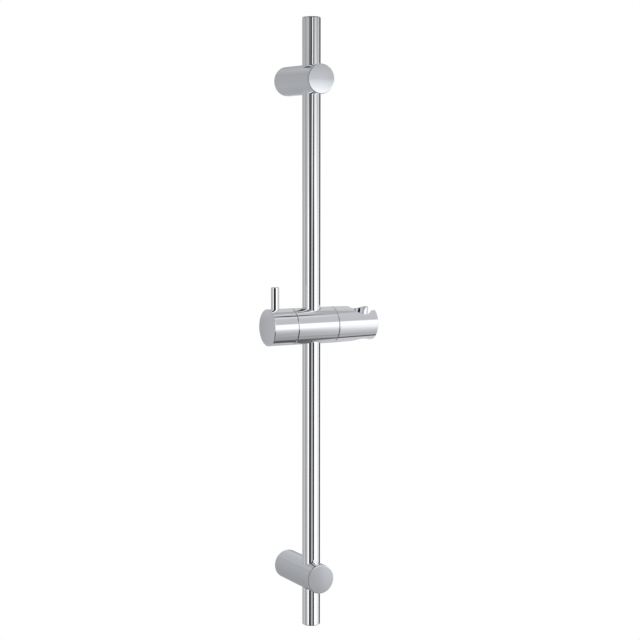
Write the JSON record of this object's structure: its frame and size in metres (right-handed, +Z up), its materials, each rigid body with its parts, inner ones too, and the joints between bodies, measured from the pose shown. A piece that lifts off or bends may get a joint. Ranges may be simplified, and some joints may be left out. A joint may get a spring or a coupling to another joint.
{
  "type": "shower slide rail",
  "caption": "Wall rail of round tube on two posts, with a sliding, swivelling handset holder clamped by a pin lever.",
  "frame": {"origin": "on the wall, midway between the centres of the two bracket posts", "axes": "+X along the slider towards the handset socket, +Y into the wall, +Z up the rail"},
  "size_m": [0.1152, 0.073, 0.6],
  "materials": {
    "polished_chrome": "mirror polished chrome plate on turned brass and steel tube",
    "chromed_plastic": "chrome plate on moulded plastic",
    "brass": "turned, unplated",
    "steel": "plain stainless steel",
    "white_acetal": "moulded, satin",
    "grey_nylon": "moulded, satin",
    "dark_polyurethane": "moulded, matt",
    "black_rubber": "moulded, matt"
  },
  "bodies": {
    "rail": {"rail_tube": "polished_chrome", "rail_top_cap": "chromed_plastic", "rail_bottom_cap": "chromed_plastic", "upper_bracket_post": "polished_chrome", "upper_bracket_cap": "chromed_plastic", "upper_wall_spigot": "brass", "upper_fixing_screw": "steel", "upper_rail_lock_screw": "steel", "lower_bracket_post": "polished_chrome", "lower_bracket_cap": "chromed_plastic", "lower_wall_spigot": "brass", "lower_fixing_screw": "steel", "lower_rail_lock_screw": "steel"},
    "glide": {"upper_guide_bush": "white_acetal", "lower_guide_bush": "white_acetal"},
    "slider": {"slider_body": "polished_chrome", "spindle_clip": "steel", "pivot_bush": "white_acetal", "friction_ring": "white_acetal", "spring_washer": "steel", "pivot_screw": "steel"},
    "knob": {"knob_shell": "polished_chrome", "knob_core": "grey_nylon", "lever_pin": "polished_chrome", "clamp_spindle": "brass", "knob_ring": "black_rubber"},
    "clamp": {"clamp_nut": "brass", "brake_pad": "dark_polyurethane"},
    "holder": {"handset_holder": "polished_chrome"}
  },
  "joints": [
    {"name": "slider_height", "type": "slide", "parent": "rail", "child": "glide", "axis": [0, 0, 1], "range_m": [-0.217, 0.2065]},
    {"name": "slider_swing", "type": "hinge", "parent": "glide", "child": "slider", "pos_m": [0, -0.052, 0.0053], "axis": [0, 0, 1], "range_deg": [-210, 30]},
    {"name": "lever_turn", "type": "hinge", "parent": "slider", "child": "knob", "pos_m": [-0.0397, -0.052, 0.0053], "axis": [1, 0, 0], "range_deg": [0, 90]},
    {"name": "clamp_release", "type": "slide", "parent": "slider", "child": "clamp", "axis": [-1, 0, 0], "range_m": [0, 0.00102]},
    {"name": "holder_tilt", "type": "hinge", "parent": "slider", "child": "holder", "pos_m": [0.0225, -0.052, 0.0053], "axis": [1, 0, 0], "range_deg": [-90, 90]}
  ],
  "couplings": [
    {"joint": "clamp_release", "follows": "lever_turn", "m_per_rad": 0.00063662}
  ]
}
